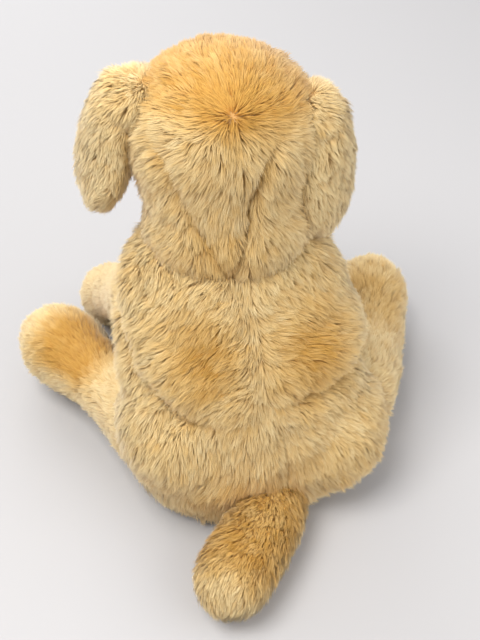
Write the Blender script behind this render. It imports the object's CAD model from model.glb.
"""Looks of the sitting plush puppy: sewn and stuffed skins that carry a long soft pile."""
import math

import bpy
import numpy as np
from mathutils import Matrix, Vector


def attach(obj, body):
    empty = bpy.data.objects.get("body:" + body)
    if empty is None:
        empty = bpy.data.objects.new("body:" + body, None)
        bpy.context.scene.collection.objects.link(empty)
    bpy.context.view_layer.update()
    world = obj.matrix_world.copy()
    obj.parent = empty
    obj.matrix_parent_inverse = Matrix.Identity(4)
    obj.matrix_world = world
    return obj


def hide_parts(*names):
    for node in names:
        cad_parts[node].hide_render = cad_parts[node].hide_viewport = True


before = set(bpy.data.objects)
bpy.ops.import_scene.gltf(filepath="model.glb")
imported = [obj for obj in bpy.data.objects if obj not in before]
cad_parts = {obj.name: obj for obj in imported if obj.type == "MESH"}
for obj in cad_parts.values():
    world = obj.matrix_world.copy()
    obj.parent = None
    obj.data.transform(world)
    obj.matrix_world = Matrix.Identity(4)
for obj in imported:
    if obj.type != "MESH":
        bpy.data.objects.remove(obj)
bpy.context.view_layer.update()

# Shapes are given in millimetres in the CAD frame: the puppy faces -Y, +Z is up, +X is its left.
MM = 0.001
LEFT, RIGHT = 1, -1
SIDE_NAMES = {LEFT: "left", RIGHT: "right"}
FLOOR_CLEARANCE = 0.4

NECK_PIVOT = np.array((0.0, -46.0, 214.0))
HEAD_TURN = math.radians(-13.0)
HEAD_TILT = math.radians(-8.0)
SKULL = np.array((6.0, -62.0, 268.0))
MUZZLE = np.array((6.0, -118.0, 252.0))

CLOTH_FRAMES = 20
CLOTH_PRESSURE = 4.0
CLOTH_QUALITY = 5
MOST_SWELL = 2.5
SMOOTHING = 0.6

STRANDS_PER_MM2 = 2.4
STRANDS_PER_PIECE = 60000
PILE_LENGTH = {
    "torso": 12.5,
    "head": 12.5,
    "ear": 9.5,
    "hind_leg": 11.0,
    "front_leg": 10.0,
    "tail": 10.0,
}
SEEDS = {"torso": 11, "head": 23, "ear": 31, "hind_leg": 41, "front_leg": 51, "tail": 61}
FILL = {"torso": 0.8, "head": 0.9, "ear": 0.4, "limb": 0.7}


# ---- small vector helpers ------------------------------------------------------------------------
def turned(axis, angle):
    """Rotation matrix about one of the frame's axes."""
    return np.array(Matrix.Rotation(angle, 3, axis))


def unit(vectors):
    """Vectors scaled to length one."""
    length = np.linalg.norm(vectors, axis=-1, keepdims=True)
    return vectors / np.maximum(length, 1e-9)


def flattened(vectors, normals):
    """Directions laid into the surface they grow from."""
    along = np.sum(vectors * normals, axis=1, keepdims=True)
    return unit(vectors - along * normals)


def bump(distance, width):
    """Soft hill of height one."""
    return np.exp(-((distance / width) ** 2))


def ramp(value, low, high):
    """Smooth step from zero at low to one at high."""
    t = np.clip((value - low) / (high - low), 0.0, 1.0)
    return t * t * (3.0 - 2.0 * t)


HEAD_ROTATION = turned("Y", HEAD_TILT) @ turned("Z", HEAD_TURN)


def to_head(points):
    """Points of the straight-ahead head moved to its resting look."""
    return NECK_PIVOT + (np.asarray(points) - NECK_PIVOT) @ HEAD_ROTATION.T


def from_head(points):
    """Points of the resting head moved back to the straight-ahead head."""
    return NECK_PIVOT + (np.asarray(points) - NECK_PIVOT) @ HEAD_ROTATION


# ---- closed forms the skins are made of ----------------------------------------------------------
def grid_faces(rings, sides):
    """Faces of a closed tube of rings with a pole at each end."""
    faces = []
    for ring in range(rings - 1):
        for side in range(sides):
            nxt = (side + 1) % sides
            row = ring * sides
            faces.append((row + side, row + nxt, row + sides + nxt, row + sides + side))
    first_pole = rings * sides
    last_row = (rings - 1) * sides
    for side in range(sides):
        nxt = (side + 1) % sides
        faces.append((first_pole, nxt, side))
        faces.append((first_pole + 1, last_row + side, last_row + nxt))
    return faces


def egg(centre, size, rings=18, sides=32):
    """Ellipsoid from a centre and three half sizes."""
    theta = np.linspace(0.0, math.pi, rings + 2)[1:-1]
    phi = np.linspace(0.0, 2.0 * math.pi, sides, endpoint=False)
    theta, phi = np.meshgrid(theta, phi, indexing="ij")
    across = np.sin(theta) * np.cos(phi)
    deep = np.sin(theta) * np.sin(phi)
    ball = np.stack([across, deep, -np.cos(theta)], axis=-1)
    points = np.vstack([ball.reshape(-1, 3), (0.0, 0.0, -1.0), (0.0, 0.0, 1.0)])
    return points * np.array(size) + np.array(centre), grid_faces(rings, sides)


def stack(levels, sides=48):
    """Loft of level ellipses: height, middle in Y, half width, half depth."""
    phi = np.linspace(0.0, 2.0 * math.pi, sides, endpoint=False)
    rows = []
    for height, middle, half_width, half_depth in levels:
        across = half_width * np.cos(phi)
        deep = middle + half_depth * np.sin(phi)
        rows.append(np.stack([across, deep, np.full(sides, height)], axis=1))
    first, last = levels[0], levels[-1]
    poles = [(0.0, first[1], first[0]), (0.0, last[1], last[0])]
    return np.vstack(rows + [poles]), grid_faces(len(levels), sides)


def tube(stations, sides=28):
    """Round tube through stations: a point and the radius there."""
    middles = np.array([station[:3] for station in stations])
    radii = [station[3] for station in stations]
    ways = unit(np.gradient(middles, axis=0))
    phi = np.linspace(0.0, 2.0 * math.pi, sides, endpoint=False)
    rows = []
    for middle, radius, way in zip(middles, radii, ways):
        across = unit(np.cross((0.0, 0.0, 1.0), way))
        circle = np.outer(np.cos(phi), across) + np.outer(np.sin(phi), np.cross(way, across))
        rows.append(middle + radius * circle)
    return np.vstack(rows + [middles[[0, -1]]]), grid_faces(len(stations), sides)


def along(root, aim, shares, bow=0.0):
    """Stations of a limb, bowed sideways, from (share of the way to its aim, radius, rise)."""
    root, aim = np.array(root), np.array(aim)
    sideways = unit(np.cross(aim - root, (0.0, 0.0, 1.0)))
    stations = []
    for share, radius, rise in shares:
        bend = bow * math.sin(math.pi * min(max(share, 0.0), 1.0))
        x, y, z = root + (aim - root) * share + sideways * bend
        stations.append((x, y, z + rise, radius))
    return stations


# ---- skins ---------------------------------------------------------------------------------------
def mesh_object(name, points, faces):
    """Smooth-shaded mesh object from points in millimetres."""
    mesh = bpy.data.meshes.new(name)
    mesh.from_pydata([tuple(point) for point in np.asarray(points) * MM], [], faces)
    mesh.polygons.foreach_set("use_smooth", [True] * len(mesh.polygons))
    mesh.update()
    piece = bpy.data.objects.new(name, mesh)
    bpy.context.scene.collection.objects.link(piece)
    return piece


def settled(piece):
    """Bake the piece's modifiers into its mesh."""
    depsgraph = bpy.context.evaluated_depsgraph_get()
    mesh = bpy.data.meshes.new_from_object(piece.evaluated_get(depsgraph))
    mesh.name = piece.name
    piece.modifiers.clear()
    piece.data = mesh
    return piece


def no_seams(where, normals):
    """Nothing held."""
    return np.zeros(len(where))


def filled_out(piece, seams):
    """Swell a skin as cloth over its filling, held along its seams and folds."""
    before, normals = skin_arrays(piece)[:2]
    held = piece.vertex_groups.new(name="held")
    for index, weight in enumerate(seams(before, normals)):
        held.add([index], float(weight), "REPLACE")
    cloth = piece.modifiers.new("filling", "CLOTH")
    cloth.settings.quality = CLOTH_QUALITY
    cloth.settings.use_pressure = True
    cloth.settings.uniform_pressure_force = CLOTH_PRESSURE
    cloth.settings.vertex_group_mass = "held"
    cloth.settings.effector_weights.gravity = 0.0
    for step in range(1, CLOTH_FRAMES + 1):
        bpy.context.scene.frame_set(step)
    settled(piece)
    bpy.context.scene.frame_set(1)
    swell = skin_arrays(piece)[0] - before
    far = np.linalg.norm(swell, axis=1, keepdims=True)
    moved = before + swell * np.minimum(1.0, MOST_SWELL / np.maximum(far, 1e-6))
    moved[:, 2] = np.maximum(moved[:, 2], FLOOR_CLEARANCE)
    piece.data.vertices.foreach_set("co", (moved * MM).ravel())
    piece.data.update()


def skin(name, forms, voxel=3.5, easing=6, shape=None, seams=no_seams):
    """One closed skin round several overlapping forms, with its seams and folds pressed in."""
    points, faces = [], []
    for form_points, form_faces in forms:
        start = sum(len(block) for block in points)
        points.append(form_points)
        faces += [tuple(index + start for index in face) for face in form_faces]
    piece = mesh_object(name, np.vstack(points), faces)
    joined = piece.modifiers.new("joined", "REMESH")
    joined.mode = "VOXEL"
    joined.voxel_size = voxel * MM
    joined.use_smooth_shade = True
    eased = piece.modifiers.new("eased", "SMOOTH")
    eased.factor = SMOOTHING
    eased.iterations = easing
    settled(piece)
    if shape is not None:
        where, normals = skin_arrays(piece)[:2]
        moved = where + normals * shape(where, normals)[:, None]
        moved[:, 2] = np.maximum(moved[:, 2], FLOOR_CLEARANCE)
        piece.data.vertices.foreach_set("co", (moved * MM).ravel())
        piece.data.update()
    filled_out(piece, seams)
    return piece


def skin_arrays(piece):
    """Points and normals in millimetres, and the triangles of a skin."""
    mesh = piece.data
    count = len(mesh.vertices)
    where = np.empty(count * 3, dtype=np.float32)
    mesh.vertices.foreach_get("co", where)
    normals = np.empty(count * 3, dtype=np.float32)
    mesh.vertex_normals.foreach_get("vector", normals)
    mesh.calc_loop_triangles()
    corners = np.empty(len(mesh.loop_triangles) * 3, dtype=np.int32)
    mesh.loop_triangles.foreach_get("vertices", corners)
    where = where.reshape(-1, 3).astype(float) / MM
    return where, normals.reshape(-1, 3).astype(float), corners.reshape(-1, 3)


# ---- materials -----------------------------------------------------------------------------------
def new_material(name):
    """Empty node material with a Principled shader, its node tree and the shader."""
    material = bpy.data.materials.new(name)
    material.use_nodes = True
    nodes = material.node_tree.nodes
    shader = nodes["Principled BSDF"]
    return material, material.node_tree, shader


def colour_ramp(tree, stops):
    """Colour ramp node from a list of (position, colour)."""
    node = tree.nodes.new("ShaderNodeValToRGB")
    ramp_elements = node.color_ramp.elements
    while len(ramp_elements) < len(stops):
        ramp_elements.new(0.5)
    for element, (position, colour) in zip(ramp_elements, stops):
        element.position = position
        element.color = (*colour, 1.0)
    return node


CREAM_TIP = (0.98, 0.79, 0.44)
HONEY_TIP = (0.88, 0.60, 0.24)
GOLD_TIP = (0.70, 0.39, 0.085)
CREAM_ROOT = (0.82, 0.51, 0.20)
HONEY_ROOT = (0.68, 0.38, 0.11)
GOLD_ROOT = (0.54, 0.23, 0.036)
BACKING_LIGHT = (0.66, 0.40, 0.16)
BACKING_DARK = (0.50, 0.27, 0.08)


def pile_material():
    """Pile: across the map it goes from cream to gold, along it from the root to the tip."""
    material, tree, shader = new_material("plush_pile")
    place = tree.nodes.new("ShaderNodeUVMap")
    place.uv_map = "OFBake"
    parts = tree.nodes.new("ShaderNodeSeparateXYZ")
    tree.links.new(place.outputs["UV"], parts.inputs["Vector"])
    tips = colour_ramp(tree, [(0.0, CREAM_TIP), (0.5, HONEY_TIP), (1.0, GOLD_TIP)])
    roots = colour_ramp(tree, [(0.0, CREAM_ROOT), (0.5, HONEY_ROOT), (1.0, GOLD_ROOT)])
    tree.links.new(parts.outputs["X"], tips.inputs["Fac"])
    tree.links.new(parts.outputs["X"], roots.inputs["Fac"])
    fade = tree.nodes.new("ShaderNodeMapRange")
    fade.inputs["From Min"].default_value = 0.1
    fade.inputs["From Max"].default_value = 0.85
    tree.links.new(parts.outputs["Y"], fade.inputs["Value"])
    mixed = tree.nodes.new("ShaderNodeMix")
    mixed.data_type = "RGBA"
    tree.links.new(fade.outputs["Result"], mixed.inputs["Factor"])
    tree.links.new(roots.outputs["Color"], mixed.inputs["A"])
    tree.links.new(tips.outputs["Color"], mixed.inputs["B"])
    tree.links.new(mixed.outputs["Result"], shader.inputs["Base Color"])
    # A strand is round, so the underside of its blade takes the light that its top takes.
    surface = tree.nodes.new("ShaderNodeNewGeometry")
    sign = tree.nodes.new("ShaderNodeMapRange")
    sign.inputs["To Min"].default_value = 1.0
    sign.inputs["To Max"].default_value = -1.0
    tree.links.new(surface.outputs["Backfacing"], sign.inputs["Value"])
    outward = tree.nodes.new("ShaderNodeVectorMath")
    outward.operation = "SCALE"
    tree.links.new(surface.outputs["Normal"], outward.inputs["Vector"])
    tree.links.new(sign.outputs["Result"], outward.inputs["Scale"])
    tree.links.new(outward.outputs["Vector"], shader.inputs["Normal"])
    shader.inputs["Roughness"].default_value = 0.75
    shader.inputs["Specular IOR Level"].default_value = 0.15
    shader.inputs["Sheen Weight"].default_value = 0.25
    shader.inputs["Sheen Roughness"].default_value = 0.5
    return material


def backing_material():
    """Knitted backing cloth under the pile, seen only between the strands."""
    material, tree, shader = new_material("plush_backing")
    place = tree.nodes.new("ShaderNodeTexCoord")
    blotch = tree.nodes.new("ShaderNodeTexNoise")
    blotch.inputs["Scale"].default_value = 90.0
    blotch.inputs["Detail"].default_value = 4.0
    tree.links.new(place.outputs["Object"], blotch.inputs["Vector"])
    shades = colour_ramp(tree, [(0.3, BACKING_DARK), (0.7, BACKING_LIGHT)])
    tree.links.new(blotch.outputs["Fac"], shades.inputs["Fac"])
    tree.links.new(shades.outputs["Color"], shader.inputs["Base Color"])
    knit = tree.nodes.new("ShaderNodeTexNoise")
    knit.inputs["Scale"].default_value = 900.0
    tree.links.new(place.outputs["Object"], knit.inputs["Vector"])
    raised = tree.nodes.new("ShaderNodeBump")
    raised.inputs["Strength"].default_value = 0.6
    raised.inputs["Distance"].default_value = 0.001
    tree.links.new(knit.outputs["Fac"], raised.inputs["Height"])
    tree.links.new(raised.outputs["Normal"], shader.inputs["Normal"])
    shader.inputs["Roughness"].default_value = 0.95
    shader.inputs["Specular IOR Level"].default_value = 0.1
    shader.inputs["Sheen Weight"].default_value = 0.2
    return material


def button_material(name, deep, shallow, roughness, grain):
    """Moulded plastic button: two close tones and a faint grain."""
    material, tree, shader = new_material(name)
    place = tree.nodes.new("ShaderNodeTexCoord")
    blotch = tree.nodes.new("ShaderNodeTexNoise")
    blotch.inputs["Scale"].default_value = 160.0
    tree.links.new(place.outputs["Object"], blotch.inputs["Vector"])
    shades = colour_ramp(tree, [(0.35, deep), (0.65, shallow)])
    tree.links.new(blotch.outputs["Fac"], shades.inputs["Fac"])
    tree.links.new(shades.outputs["Color"], shader.inputs["Base Color"])
    fine = tree.nodes.new("ShaderNodeTexVoronoi")
    fine.inputs["Scale"].default_value = 1400.0
    tree.links.new(place.outputs["Object"], fine.inputs["Vector"])
    raised = tree.nodes.new("ShaderNodeBump")
    raised.inputs["Strength"].default_value = grain
    raised.inputs["Distance"].default_value = 0.0004
    tree.links.new(fine.outputs["Distance"], raised.inputs["Height"])
    tree.links.new(raised.outputs["Normal"], shader.inputs["Normal"])
    shader.inputs["Roughness"].default_value = roughness
    shader.inputs["Coat Weight"].default_value = 0.6
    shader.inputs["Coat Roughness"].default_value = 0.06
    return material


THREAD_DARK = (0.010, 0.006, 0.004)
THREAD_LIGHT = (0.045, 0.025, 0.016)


def thread_material():
    """Dark embroidery thread with its twist."""
    material, tree, shader = new_material("mouth_thread")
    place = tree.nodes.new("ShaderNodeTexCoord")
    twist = tree.nodes.new("ShaderNodeTexWave")
    twist.inputs["Scale"].default_value = 700.0
    twist.inputs["Distortion"].default_value = 1.5
    tree.links.new(place.outputs["Object"], twist.inputs["Vector"])
    shades = colour_ramp(tree, [(0.0, THREAD_DARK), (1.0, THREAD_LIGHT)])
    tree.links.new(twist.outputs["Fac"], shades.inputs["Fac"])
    tree.links.new(shades.outputs["Color"], shader.inputs["Base Color"])
    shader.inputs["Roughness"].default_value = 0.6
    return material


PILE = pile_material()
BACKING = backing_material()


def dress(piece, material):
    """Give a new piece its material."""
    piece.data.materials.append(material)


# ---- pile ----------------------------------------------------------------------------------------
LEVELS = 3
LEAN_ANGLES = np.radians((58.0, 24.0))
HALF_WIDTHS = (0.20, 0.23)
ROOT_DEPTH = 0.8
MAX_ROLL = math.radians(65.0)
BIG_TUFT = 9.0
SMALL_TUFT = 4.0
BIG_TUFT_PULL = 0.16
SMALL_TUFT_PULL = 0.3
BRUSH_MARK = 13.0
BRUSH_SHARE = 0.25
# How much the pile varies from one big tuft, small tuft and strand to the next.
LAY_SPREAD = (0.15, 0.12, 0.07)
LENGTH_SPREAD = (0.07, 0.08)
LENGTH_RANGE = (0.72, 1.08)
LIFT_RANGE = (0.85, 1.15)
WIDTH_RANGE = (0.8, 1.25)
TONE_SPREAD = (0.05, 0.07, 0.05)
TONE_RANGE = (0.02, 0.98)
SHADING_SPREAD = 0.2
SHADING_LEAN = 0.15


def scattered(where, normals, corners, rng, keep):
    """Random points on a skin with their normals, evenly over its area."""
    a, b, c = (where[corners[:, k]] for k in range(3))
    area = np.linalg.norm(np.cross(b - a, c - a), axis=1) / 2.0
    count = int(area.sum() * STRANDS_PER_MM2)
    picked = rng.choice(len(corners), size=count, p=area / area.sum())
    u, v = rng.random(count), rng.random(count)
    over = u + v > 1.0
    u[over], v[over] = 1.0 - u[over], 1.0 - v[over]
    weights = np.stack([1.0 - u - v, u, v], axis=1)
    spots = np.einsum("nk,nkj->nj", weights, where[corners[picked]])
    facing = unit(np.einsum("nk,nkj->nj", weights, normals[corners[picked]]))
    kept = keep(spots, facing)
    return spots[kept], facing[kept]


def tufts(spots, size, rng):
    """Group strands into tufts: the tuft of each strand and each tuft's middle."""
    shift = rng.random(3) * size
    cells = np.floor((spots + shift) / size).astype(np.int64)
    _, tuft = np.unique(cells, axis=0, return_inverse=True)
    tuft = tuft.ravel()
    sums = np.stack([np.bincount(tuft, weights=spots[:, k]) for k in range(3)], axis=1)
    return tuft, sums / np.bincount(tuft)[:, None]


def brushed(spots):
    """Slow wandering of the pile, as if stroked by hand."""
    x, y, z = (spots / BRUSH_MARK).T
    swirl = (np.sin(y + 1.7 * np.sin(z)), np.sin(z + 1.3 * np.sin(x)), np.sin(x + 1.9 * np.sin(y)))
    return np.stack(swirl, axis=1)


def pile(name, piece, body, seed, length, flow, tone, keep):
    """Grow pile on a skin: each strand is a thin tapered blade that bends over along the flow."""
    rng = np.random.default_rng(seed)
    spots, facing = scattered(*skin_arrays(piece), rng, keep)
    lay = flattened(unit(flow(spots, facing)) + BRUSH_SHARE * brushed(spots), facing)
    lengths = length(spots, facing)
    tones = tone(spots, facing)

    big_tuft, big_middle = tufts(spots, BIG_TUFT, rng)
    small_tuft, small_middle = tufts(spots, SMALL_TUFT, rng)
    big_count, small_count = len(big_middle), len(small_middle)
    lay = lay + rng.normal(0.0, LAY_SPREAD[0], (big_count, 3))[big_tuft]
    lay = lay + rng.normal(0.0, LAY_SPREAD[1], (small_count, 3))[small_tuft]
    lay = flattened(lay + rng.normal(0.0, LAY_SPREAD[2], lay.shape), facing)
    lengths = lengths * (1.0 + rng.normal(0.0, LENGTH_SPREAD[0], big_count)[big_tuft])
    lengths = lengths * (1.0 + rng.normal(0.0, LENGTH_SPREAD[1], small_count)[small_tuft])
    lengths = lengths * rng.uniform(*LENGTH_RANGE, len(spots))
    tones = tones + rng.normal(0.0, TONE_SPREAD[0], big_count)[big_tuft]
    tones = tones + rng.normal(0.0, TONE_SPREAD[1], small_count)[small_tuft]
    tones = tones + rng.normal(0.0, TONE_SPREAD[2], len(spots))
    tones = np.clip(tones, *TONE_RANGE)

    pull = SMALL_TUFT_PULL * (small_middle[small_tuft] - spots)
    pull = pull + BIG_TUFT_PULL * (big_middle[big_tuft] - spots)
    lift = rng.uniform(*LIFT_RANGE, len(spots))
    rows = [spots - facing * ROOT_DEPTH]
    for angle in LEAN_ANGLES:
        angles = (angle * lift)[:, None]
        stride = facing * np.sin(angles) + lay * np.cos(angles)
        rows.append(rows[-1] + stride * (lengths / (LEVELS - 1))[:, None])
    for step in range(1, LEVELS):
        rows[step] = rows[step] + pull * (step / (LEVELS - 1)) ** 2
        rows[step][:, 2] = np.maximum(rows[step][:, 2], FLOOR_CLEARANCE)

    way = unit(rows[-1] - rows[0])
    level = unit(np.cross(way, facing))
    roll = rng.uniform(-MAX_ROLL, MAX_ROLL, len(spots))[:, None]
    across = level * np.cos(roll) + np.cross(level, way) * np.sin(roll)
    widths = rng.uniform(*WIDTH_RANGE, len(spots))[:, None]
    wobble = SHADING_SPREAD * level * rng.normal(0.0, 1.0, (len(spots), 1))
    shading = unit(facing + wobble + SHADING_LEAN * lay)
    for part, start in enumerate(range(0, len(spots), STRANDS_PER_PIECE)):
        chosen = slice(start, start + STRANDS_PER_PIECE)
        blades(
            f"{name}_{part + 1}",
            [row[chosen] for row in rows],
            across[chosen],
            widths[chosen],
            tones[chosen],
            shading[chosen],
            body,
        )


def blades(name, rows, across, widths, tones, shading, body):
    """One mesh of blades, each a quad with a pointed tip."""
    count = len(tones)
    columns = []
    for level, half_width in enumerate(HALF_WIDTHS):
        columns.append(rows[level] - across * widths * half_width)
        columns.append(rows[level] + across * widths * half_width)
    columns.append(rows[-1])
    points = np.stack(columns, axis=1).reshape(-1, 3) * MM
    per_blade = len(columns)
    # The corners of one blade: its quad, then the triangle of its tip.
    pattern = np.array((0, 1, 3, 2, 2, 3, 4))
    levels = np.array((0, 0, 1, 1, 2))[pattern] / (LEVELS - 1)
    corners = (np.arange(count)[:, None] * per_blade + pattern).ravel()
    starts = (np.arange(count)[:, None] * len(pattern) + np.array((0, 4))).ravel()

    mesh = bpy.data.meshes.new(name)
    mesh.vertices.add(len(points))
    mesh.vertices.foreach_set("co", points.astype(np.float32).ravel())
    mesh.loops.add(len(corners))
    mesh.loops.foreach_set("vertex_index", corners.astype(np.int32))
    mesh.polygons.add(len(starts))
    mesh.polygons.foreach_set("loop_start", starts.astype(np.int32))
    mesh.update(calc_edges=True)
    chart = mesh.uv_layers.new(name="OFBake")
    across_map = np.repeat(tones, len(pattern))
    along_map = np.tile(0.02 + 0.96 * levels, count)
    places = np.stack([across_map, along_map], axis=1)
    chart.data.foreach_set("uv", places.astype(np.float32).ravel())
    mesh.polygons.foreach_set("use_smooth", np.ones(len(starts), dtype=bool))
    normals = np.repeat(shading, per_blade, axis=0)
    mesh.normals_split_custom_set_from_vertices(normals.astype(np.float32))
    piece = bpy.data.objects.new(name, mesh)
    bpy.context.scene.collection.objects.link(piece)
    dress(piece, PILE)
    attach(piece, body)


def everywhere(spots, facing):
    """Keep every strand."""
    return np.ones(len(spots), dtype=bool)


def finish_skin(piece, body, slot, fill, *nodes):
    """Dress a stuffed skin, tie it to its body and let it stand for its CAD nodes."""
    dress(piece, BACKING)
    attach(piece, body)
    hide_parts(*nodes)


# ---- torso ---------------------------------------------------------------------------------------
NECK_CENTRE = np.array((-2.0, -44.0, 214.0))
NECK_SIZE = np.array((53.0, 49.0, 42.0))
BARE_SEAT_HEIGHT = 3.0
TORSO_LEVELS = (
    (0.5, 0.0, 52.0, 34.0),
    (3.0, 0.0, 66.0, 44.0),
    (9.0, 0.0, 76.0, 51.0),
    (24.0, 0.0, 84.0, 57.0),
    (52.0, 0.0, 89.0, 62.0),
    (76.0, -3.0, 86.0, 62.0),
    (92.0, -7.0, 80.0, 60.0),
    (112.0, -12.0, 81.0, 60.0),
    (138.0, -20.0, 79.0, 57.0),
    (162.0, -30.0, 76.0, 53.0),
    (184.0, -38.0, 67.0, 48.0),
    (199.0, -42.0, 54.0, 41.0),
    (210.0, -44.0, 36.0, 28.0),
)


# Height and sideways place of the spine seam, which bends to the right low on the back.
SPINE_LINE = ((45.0, -13.0), (88.0, -10.0), (125.0, 0.0), (156.0, -1.0), (192.0, 4.0))
# Place in Y and height of the waist fold.
WAIST_LINE = {
    LEFT: (
        (-40.0, 170.0),
        (-10.0, 147.0),
        (2.0, 135.0),
        (19.0, 122.0),
        (34.0, 111.0),
        (51.0, 108.0),
    ),
    RIGHT: ((-20.0, 108.0), (29.0, 113.0), (54.0, 116.0)),
}


def spine_gap(where):
    """Sideways distance from the spine seam."""
    heights, places = np.transpose(SPINE_LINE)
    return where[:, 0] - np.interp(where[:, 2], heights, places)


def waist_gap(where):
    """Height above the waist fold, which climbs forward on the left side."""
    x, y, z = where.T
    left, right = (np.interp(y, *np.transpose(WAIST_LINE[side])) for side in (LEFT, RIGHT))
    return z - np.where(x > 0.0, left, right)


def waist_fold(where):
    """One in the waist fold, fading out near the spine, sooner on the left."""
    x, y = where[:, 0], where[:, 1]
    reach = np.where(x > 0.0, ramp(-y, -52.0, -26.0), ramp(-x, 10.0, 30.0))
    return bump(waist_gap(where), 6.0) * reach


def torso_folds(where, normals):
    """Spine seam, waist folds with the back swelling over them, and the cleft of the rump."""
    x, y, z = where.T
    back = ramp(y, -30.0, 10.0)
    spine = -2.6 * bump(spine_gap(where), 5.0) * back * ramp(z, 12.0, 40.0)
    cleft = -4.5 * bump(spine_gap(where), 8.0) * back * bump(z - 60.0, 26.0)
    swell = 5.0 * bump(waist_gap(where) - 20.0, 14.0) * ramp(np.abs(x), 20.0, 50.0)
    haunch = 4.0 * bump(waist_gap(where) + 26.0, 17.0) * ramp(x, 40.0, 70.0)
    rumples = 1.0 * np.sin(x * 0.11 + z * 0.07) * np.sin(z * 0.13 - y * 0.09)
    depth = 9.5 + 4.0 * ramp(x, 50.0, 70.0)
    return spine + cleft - depth * waist_fold(where) + swell + haunch + rumples


def torso_seams(where, normals):
    """Held along the spine seam and the waist folds, and flat under the seat."""
    back = ramp(where[:, 1], -30.0, 10.0)
    seat = ramp(-where[:, 2], -4.0, -1.0)
    return np.maximum.reduce([bump(spine_gap(where), 4.0) * back, waist_fold(where), seat])


torso_skin = skin(
    "torso_skin",
    [
        stack(TORSO_LEVELS),
        egg((48.0, 0.0, 70.0), (45.0, 52.0, 51.0)),
        egg((-50.0, 5.0, 52.0), (47.0, 57.0, 47.0)),
    ],
    easing=10,
    shape=torso_folds,
    seams=torso_seams,
)
finish_skin(
    torso_skin,
    "torso",
    "plush_cream",
    FILL["torso"],
    "seat_panel",
    "belly_panel",
    "back_panel_left",
    "back_panel_right",
    "torso_stuffing",
    "pellet_pouch",
)


def torso_keep(spots, facing):
    """No pile under the seat or where the neck covers the torso."""
    inside_neck = np.linalg.norm((spots - NECK_CENTRE) / NECK_SIZE, axis=1) < 0.96
    return (spots[:, 2] > BARE_SEAT_HEIGHT) & ~inside_neck


def torso_length(spots, facing):
    """Long pile, shorter along the seams and folds and round the foot of the torso."""
    seam = 2.5 * bump(spine_gap(spots), 3.0)
    hem = 3.0 * (spots[:, 2] < 14.0)
    return PILE_LENGTH["torso"] - seam - 6.0 * waist_fold(spots) - hem


def torso_flow(spots, facing):
    """Down the body, swept away from the spine on the back and fanning out over the rump."""
    y, z = spots[:, 1], spots[:, 2]
    back = ramp(y, -20.0, 20.0)
    sweep = (0.35 + 1.1 * bump(z - 152.0, 34.0)) * np.tanh(spine_gap(spots) / 9.0) * back
    return np.stack([sweep, 0.15 * back, np.full(len(spots), -0.75)], axis=1)


def torso_tone(spots, facing):
    """Cream with two gold patches beside the spine."""
    x, y, z = spots.T
    back = ramp(y, -20.0, 8.0)
    patch_left = bump(x - 29.0, 22.0) * bump(z - 154.0, 26.0)
    patch_right = bump(x + 37.0, 26.0) * bump(z - 146.0, 27.0)
    seam = bump(spine_gap(spots), 8.0)
    rump = 0.14 * bump(z - 55.0, 26.0) * back + 0.1 * bump(x - 30.0, 24.0) * bump(z - 40.0, 24.0)
    side = -0.08 * ramp(np.abs(x), 60.0, 85.0)
    base = 0.22 + rump + side + 0.30 * waist_fold(spots)
    return base + back * 0.72 * (patch_left + patch_right) * (1.0 - 0.75 * seam)


pile(
    "torso_pile",
    torso_skin,
    "torso",
    SEEDS["torso"],
    torso_length,
    torso_flow,
    torso_tone,
    torso_keep,
)

# ---- head ----------------------------------------------------------------------------------------
WHORL = from_head(np.array((-3.0, -19.0, 305.0)))


SHORTEST_PILE = 2.5
EYE_SPREAD = 25.0
EYE_RISE = 4.0
EYE_FRONT = -114.0
EYE_CLEARANCE = 7.5
NOSE_RISE = 6.0
NOSE_CLEARANCE = (12.0, 8.5)
# Height and sideways place of the two seams of the crown gusset, on the straight-ahead head.
GUSSET_LINE = {
    LEFT: ((200.0, 8.0), (238.0, 25.0), (288.0, 39.0)),
    RIGHT: ((200.0, 6.0), (257.0, -9.0), (288.0, -23.0)),
}


def gusset_seam(where):
    """One on the two seams that run from the crown down to a point at the nape."""
    x, y, z = where.T
    left, right = (np.interp(z, *np.transpose(GUSSET_LINE[side])) for side in (LEFT, RIGHT))
    back = ramp(y, -58.0, -40.0) * ramp(z, 296.0, 280.0)
    return np.maximum(bump(x - right, 3.6), 0.6 * bump(x - left, 3.6)) * back


def head_folds(where, normals):
    """Seams of the crown gusset down to the nape and soft eye hollows."""
    x, y, z = from_head(where).T
    across = np.abs(x - SKULL[0])
    brow = -2.0 * bump(np.hypot(across - 24.0, z - 272.0), 9.0) * ramp(-y, 90.0, 105.0)
    return brow - 6.5 * gusset_seam(where)


def head_seams(where, normals):
    """Held along the gusset seams and round the neck."""
    return np.maximum(gusset_seam(where), ramp(-where[:, 2], -196.0, -186.0))


straight_forms = [
    egg(SKULL, (60.5, 59.5, 54.0)),
    egg(MUZZLE, (32.5, 38.0, 25.5)),
    egg(SKULL + (26.0, -30.0, -24.0), (28.0, 28.0, 24.0)),
    egg(SKULL + (-26.0, -30.0, -24.0), (28.0, 28.0, 24.0)),
    egg((3.0, -50.0, 242.0), (51.0, 49.0, 38.0)),
]
head_forms = [(to_head(points), faces) for points, faces in straight_forms]
head_forms.append(egg(NECK_CENTRE, NECK_SIZE))
head_skin = skin("head_skin", head_forms, easing=14, shape=head_folds, seams=head_seams)
finish_skin(
    head_skin,
    "head",
    "plush_gold",
    FILL["head"],
    "head_gusset",
    "head_panel_left",
    "head_panel_right",
    "chin_panel",
    "head_stuffing",
    "neck_stuffing",
)


def face_share(spots):
    """One on the face, falling to zero over the crown and cheeks."""
    y = from_head(spots)[:, 1]
    return ramp(-y, 92.0, 126.0)


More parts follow.
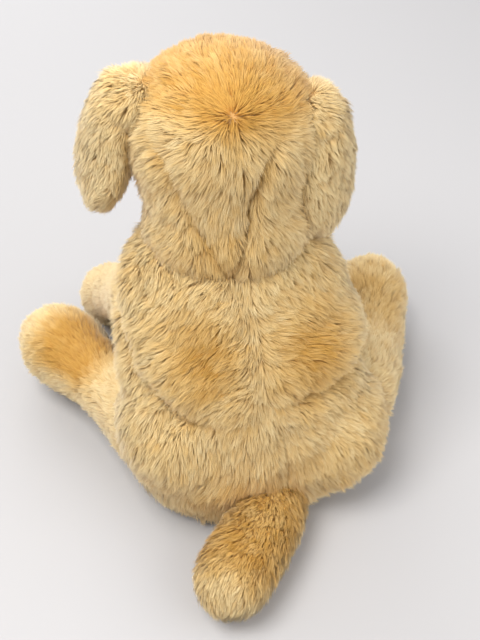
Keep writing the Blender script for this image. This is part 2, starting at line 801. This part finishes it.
def head_keep(spots, facing):
    """No pile over the eyes and nose, nor deep inside the torso."""
    x, y, z = from_head(spots).T
    eyes = np.hypot(np.abs(x - SKULL[0]) - EYE_SPREAD, z - SKULL[2] - EYE_RISE) < EYE_CLEARANCE
    eyes = eyes & (np.abs(y - EYE_FRONT) < 12.0)
    nose_across = (x - MUZZLE[0]) / NOSE_CLEARANCE[0]
    nose_up = (z - MUZZLE[2] - NOSE_RISE) / NOSE_CLEARANCE[1]
    nose = (np.hypot(nose_across, nose_up) < 1.0) & (y < -140.0)
    buried = spots[:, 2] < 182.0
    return ~(eyes | nose | buried)


def head_length(spots, facing):
    """Long pile, shorter on the crown and along the seams and quite short on the face."""
    crown = ramp(spots[:, 2], 296.0, 312.0)
    lips = ramp(-from_head(spots)[:, 1], 132.0, 142.0)
    seams = 3.0 * crown + 7.0 * gusset_seam(spots)
    face = 7.5 * face_share(spots)
    return np.maximum(PILE_LENGTH["head"] - seams - face - 2.0 * lips, SHORTEST_PILE)


def head_flow(spots, facing):
    """Out of the whorl at the back of the crown, and back from the nose on the face."""
    local = from_head(spots)
    y, z = local[:, 1], local[:, 2]
    whorl = unit(local - WHORL)
    nape = ramp(-(z - 250.0), 0.0, 40.0)[:, None] * ramp(y, -60.0, -30.0)[:, None]
    down = np.array((0.0, 0.0, -1.0))
    from_nose = unit(local - (MUZZLE + np.array((0.0, -40.0, 6.0))))
    face = face_share(spots)[:, None]
    lay = (1.0 - face) * (whorl * (1.0 - 0.5 * nape) + down * 0.6 * nape) + face * from_nose
    return lay @ HEAD_ROTATION.T


def head_tone(spots, facing):
    """Gold crown and whorl, cream back of the head and muzzle, honey nape."""
    local = from_head(spots)
    x, y, z = local.T
    top = ramp(z, 291.0, 304.0)
    whorl = bump(np.linalg.norm(local - WHORL, axis=1), 20.0)
    nape = 0.22 * bump(x - SKULL[0], 22.0) * ramp(250.0 - z, 0.0, 30.0)
    muzzle = ramp(-y, 112.0, 136.0)
    return 0.24 + 0.6 * top + 0.3 * whorl + nape + 0.4 * gusset_seam(spots) - 0.2 * muzzle


pile(
    "head_pile",
    head_skin,
    "head",
    SEEDS["head"],
    head_length,
    head_flow,
    head_tone,
    head_keep,
)

# ---- ears ----------------------------------------------------------------------------------------
EAR_SIZE = (12.0, 33.0, 47.0)
EAR_LEAN = 11.0
EAR_FLARE = {LEFT: 12.0, RIGHT: 22.0}
EAR_PLACE = {LEFT: (73.0, 0.0, -13.0), RIGHT: (-68.0, 6.0, -17.0)}


def ear_centre(side):
    """Middle of an ear of the straight-ahead head."""
    return SKULL + np.array(EAR_PLACE[side])


def ear_forms(side):
    """Thick flap that hugs the cheek, flares forward and widens downwards, and its sewn-on root."""
    points, faces = egg((0.0, 0.0, 0.0), EAR_SIZE, rings=24, sides=40)
    x, y, z = points.T
    hug = 5.0 * (y / EAR_SIZE[1]) ** 2 + 4.0 * np.clip(-z / EAR_SIZE[2], 0.0, 1.0) ** 2
    widen = 1.0 + 0.14 * ramp(-z, -10.0, 36.0) - 0.18 * ramp(z, 18.0, 50.0)
    points = np.stack([side * (x + 3.0 - hug), y * widen, z], axis=1)
    flare = turned("Z", side * math.radians(EAR_FLARE[side]))
    lean = turned("Y", -side * math.radians(EAR_LEAN))
    points = points @ flare.T @ lean.T + ear_centre(side)
    root_points, root_faces = egg(SKULL + np.array((side * 55.0, 2.0, 17.0)), (17.0, 25.0, 18.0))
    return [(to_head(points), faces), (to_head(root_points), root_faces)]


def make_ear(side):
    """Ear skin with its pile, hung at its top edge."""
    name = f"ear_{SIDE_NAMES[side]}"
    centre = ear_centre(side)
    piece = skin(f"{name}_skin", ear_forms(side), voxel=2.5, easing=6)
    finish_skin(piece, name, "plush_cream", FILL["ear"], f"{name}_outer", f"{name}_lining")

    def length(spots, facing):
        return np.full(len(spots), PILE_LENGTH["ear"])

    def flow(spots, facing):
        local = from_head(spots) - centre
        spread = np.array((side * 0.5, 0.0, -1.0)) + local * np.array((0.0, 0.012, 0.0))
        return spread @ HEAD_ROTATION.T

    def tone(spots, facing):
        local = from_head(spots)
        inside = ramp(-side * (facing @ HEAD_ROTATION)[:, 0], 0.1, 0.7)
        top = ramp(local[:, 2] - centre[2], 26.0, 46.0)
        return 0.08 + 0.30 * inside + 0.16 * top

    seed = SEEDS["ear"] + side
    pile(f"{name}_pile", piece, name, seed, length, flow, tone, everywhere)


for ear_side in (LEFT, RIGHT):
    make_ear(ear_side)

# ---- limbs ---------------------------------------------------------------------------------------
# Where each limb's pile begins, as a share of the way from its root to its aim.
PILE_START = {"hind_leg": 0.1, "front_leg": -0.1, "tail": 0.0}
HIND_ROOT = {LEFT: (53.0, -1.0, 50.0), RIGHT: (-60.0, 4.0, 50.0)}
HIND_AIM = {LEFT: (126.0, -132.0, 31.0), RIGHT: (-136.0, -120.0, 31.0)}
HIND_BOW = {LEFT: 0.0, RIGHT: 16.0}
HIND_SHARES = (
    (-0.24, 5.0, 0.0),
    (-0.22, 14.0, 0.0),
    (-0.14, 27.0, 0.0),
    (0.0, 34.0, 0.0),
    (0.2, 33.0, 0.0),
    (0.42, 26.0, 0.0),
    (0.62, 21.5, 1.0),
    (0.8, 24.0, 4.0),
    (0.96, 28.5, 8.0),
    (1.08, 28.0, 11.0),
    (1.18, 21.0, 13.0),
    (1.24, 12.0, 14.0),
    (1.26, 4.0, 14.0),
)
FRONT_ROOT = (54.0, -58.0, 146.0)
FRONT_AIM = (74.0, -180.0, 46.0)
FRONT_SHARES = (
    (-0.15, 4.0, 0.0),
    (-0.12, 15.0, 0.0),
    (0.0, 25.0, 0.0),
    (0.2, 23.5, 0.0),
    (0.5, 20.0, 0.0),
    (0.9, 19.5, 0.0),
    (1.12, 23.5, 0.5),
    (1.25, 22.5, 1.5),
    (1.33, 16.0, 2.0),
    (1.37, 5.0, 2.5),
)
TAIL_ROOT = (-2.0, 44.0, 38.0)
TAIL_AIM = (48.0, 112.0, 28.0)
TAIL_STATIONS = (
    (-18.0, 28.0, 25.0, 5.0),
    (-16.0, 31.0, 25.0, 12.0),
    (-10.0, 42.0, 25.0, 18.0),
    (-3.0, 58.0, 25.0, 20.5),
    (7.0, 73.0, 25.5, 22.5),
    (20.0, 88.0, 26.5, 23.5),
    (33.0, 102.0, 27.5, 23.5),
    (44.0, 116.0, 28.0, 22.0),
    (50.0, 125.0, 28.0, 17.0),
    (53.0, 130.0, 28.0, 8.0),
    (54.0, 132.0, 28.0, 3.0),
)


def limb_share(spots, root, aim):
    """How far along a limb each strand is, from zero at the root to one at the aim."""
    root, aim = np.array(root), np.array(aim)
    axis = aim - root
    return (spots - root) @ axis / (axis @ axis)


def side_seams(where, normals):
    """Held along the seams between the top and under covers, at the widest line of a limb."""
    return bump(normals[:, 2], 0.12)


def make_limb(name, root, aim, stations, seed, longest, tone, slot, pile_start):
    """Skin and pile of one limb, with the pile lying towards its end."""
    piece = skin(f"{name}_skin", [tube(stations)], voxel=3.0, easing=3, seams=side_seams)
    nodes = [f"{name}_{part}" for part in ("top_cover", "under_cover", "stuffing")]
    finish_skin(piece, name, slot, FILL["limb"], *nodes)
    axis = unit(np.array(aim) - np.array(root))

    def length(spots, facing):
        return np.full(len(spots), longest)

    def flow(spots, facing):
        return np.tile(axis, (len(spots), 1)) + np.array((0.0, 0.0, -0.25))

    def keep(spots, facing):
        return limb_share(spots, root, aim) > pile_start

    pile(f"{name}_pile", piece, name, seed, length, flow, tone, keep)


def hind_tone(side):
    """Cream leg with a gold patch on top of the ankle and foot, stronger on the left."""
    root, aim = HIND_ROOT[side], HIND_AIM[side]
    strength = {LEFT: 0.95, RIGHT: 0.35}[side]

    def tone(spots, facing):
        share = limb_share(spots, root, aim)
        top = ramp(facing[:, 2] + 0.4 * facing[:, 1], 0.35, 0.9)
        patch = ramp(share, 0.4, 0.7) * ramp(share, 1.08, 0.86)
        return 0.12 + strength * top * patch

    return tone


def front_tone(spots, facing):
    """Plain cream front leg."""
    return np.full(len(spots), 0.14)


def tail_tone(spots, facing):
    """Gold tail with a paler brush at its end."""
    share = limb_share(spots, TAIL_ROOT, TAIL_AIM)
    top = ramp(facing[:, 2], -0.2, 0.5)
    return 0.2 + 0.62 * (0.35 + 0.65 * top) * ramp(share, 1.12, 0.84)


for leg_side in (LEFT, RIGHT):
    side_name = SIDE_NAMES[leg_side]
    hind_root, hind_aim = HIND_ROOT[leg_side], HIND_AIM[leg_side]
    make_limb(
        f"hind_leg_{side_name}",
        hind_root,
        hind_aim,
        along(hind_root, hind_aim, HIND_SHARES, HIND_BOW[leg_side]),
        SEEDS["hind_leg"] + leg_side,
        PILE_LENGTH["hind_leg"],
        hind_tone(leg_side),
        "plush_gold",
        PILE_START["hind_leg"],
    )
    front_root = (leg_side * FRONT_ROOT[0], *FRONT_ROOT[1:])
    front_aim = (leg_side * FRONT_AIM[0], *FRONT_AIM[1:])
    make_limb(
        f"front_leg_{side_name}",
        front_root,
        front_aim,
        along(front_root, front_aim, FRONT_SHARES),
        SEEDS["front_leg"] + leg_side,
        PILE_LENGTH["front_leg"],
        front_tone,
        "plush_cream",
        PILE_START["front_leg"],
    )
make_limb(
    "tail",
    TAIL_ROOT,
    TAIL_AIM,
    TAIL_STATIONS,
    SEEDS["tail"],
    PILE_LENGTH["tail"],
    tail_tone,
    "plush_gold",
    PILE_START["tail"],
)

# ---- buttons and thread --------------------------------------------------------------------------
EYE_BROWN = ((0.012, 0.005, 0.003), (0.030, 0.011, 0.005))
NOSE_BLACK = ((0.008, 0.006, 0.006), (0.020, 0.014, 0.012))
WASHER_WHITE = ((0.70, 0.70, 0.68), (0.80, 0.80, 0.78))
EYE_PLASTIC = button_material("eye_plastic", *EYE_BROWN, roughness=0.12, grain=0.0)
NOSE_PLASTIC = button_material("nose_plastic", *NOSE_BLACK, roughness=0.34, grain=0.5)
WASHER_PLASTIC = button_material("washer_plastic", *WASHER_WHITE, roughness=0.5, grain=0.1)
NODE_MATERIALS = {
    "eye_left": EYE_PLASTIC,
    "eye_right": EYE_PLASTIC,
    "nose": NOSE_PLASTIC,
    "eye_left_washer": WASHER_PLASTIC,
    "eye_right_washer": WASHER_PLASTIC,
    "nose_washer": WASHER_PLASTIC,
    "mouth_stitch": thread_material(),
}
for node_name, node_material in NODE_MATERIALS.items():
    for material_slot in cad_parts[node_name].material_slots:
        material_slot.material = node_material

# ---- floor, light and camera ---------------------------------------------------------------------
FLOOR_HALF = 3000.0
FLOOR_GREY = (0.50, 0.50, 0.52, 1.0)
WORLD_WHITE = (1.0, 0.98, 0.96, 1.0)
WORLD_STRENGTH = 0.7
WARM_LIGHT = (1.0, 0.97, 0.92)
SOFT_LIGHT = (1.0, 0.99, 0.97)
# Name, place, target, size, power and colour of each light; places and sizes in metres.
LIGHTS = (
    ("key", (0.55, 0.25, 1.4), (0.0, 0.0, 0.12), 0.8, 19.0, WARM_LIGHT),
    ("fill", (-0.9, 0.9, 0.9), (0.0, 0.0, 0.12), 1.2, 7.0, SOFT_LIGHT),
    ("front", (0.2, -1.5, 0.9), (0.0, 0.0, 0.16), 1.2, 12.0, SOFT_LIGHT),
)


def make_floor():
    """Wide pale floor under the seat."""
    quarters = ((-1, -1), (1, -1), (1, 1), (-1, 1))
    corners = [(x * FLOOR_HALF, y * FLOOR_HALF, 0.0) for x, y in quarters]
    ground = mesh_object("ground", corners, [(0, 1, 2, 3)])
    material, _, shader = new_material("pale_ground")
    shader.inputs["Base Color"].default_value = FLOOR_GREY
    shader.inputs["Roughness"].default_value = 0.8
    dress(ground, material)


def area_light(name, place, target, size, power, colour):
    """Soft square light aimed at a point."""
    data = bpy.data.lights.new(name, "AREA")
    data.shape = "SQUARE"
    data.size = size
    data.energy = power
    data.color = colour
    lamp = bpy.data.objects.new(name, data)
    lamp.location = place
    lamp.rotation_euler = (Vector(target) - Vector(place)).to_track_quat("-Z", "Y").to_euler()
    bpy.context.scene.collection.objects.link(lamp)


def make_world():
    """Even pale surroundings."""
    world = bpy.data.worlds.new("studio")
    world.use_nodes = True
    sky = world.node_tree.nodes["Background"]
    sky.inputs["Color"].default_value = WORLD_WHITE
    sky.inputs["Strength"].default_value = WORLD_STRENGTH
    bpy.context.scene.world = world


# The camera's place is in metres.
CAMERA_AZIMUTH = math.radians(12.0)
CAMERA_PITCH = math.radians(43.0)
CAMERA_ROLL = math.radians(3.0)
CAMERA_PLACE = (0.1023, 0.4668, 0.6032)
CAMERA_LENS = 36.08
CAMERA_SENSOR = 24.0


def make_camera():
    """Camera behind and above the puppy, a little to its left."""
    data = bpy.data.cameras.new("camera")
    data.sensor_fit = "VERTICAL"
    data.sensor_height = CAMERA_SENSOR
    data.lens = CAMERA_LENS
    camera = bpy.data.objects.new("camera", data)
    level = math.cos(CAMERA_PITCH)
    look = Vector(
        (
            -math.sin(CAMERA_AZIMUTH) * level,
            -math.cos(CAMERA_AZIMUTH) * level,
            -math.sin(CAMERA_PITCH),
        )
    )
    aimed = look.to_track_quat("-Z", "Y").to_matrix()
    rolled = aimed @ Matrix.Rotation(-CAMERA_ROLL, 3, "Z")
    camera.matrix_world = Matrix.Translation(CAMERA_PLACE) @ rolled.to_4x4()
    bpy.context.scene.collection.objects.link(camera)
    bpy.context.scene.camera = camera


make_floor()
make_world()
for light in LIGHTS:
    area_light(*light)
make_camera()
bpy.context.scene.view_settings.view_transform = "Standard"
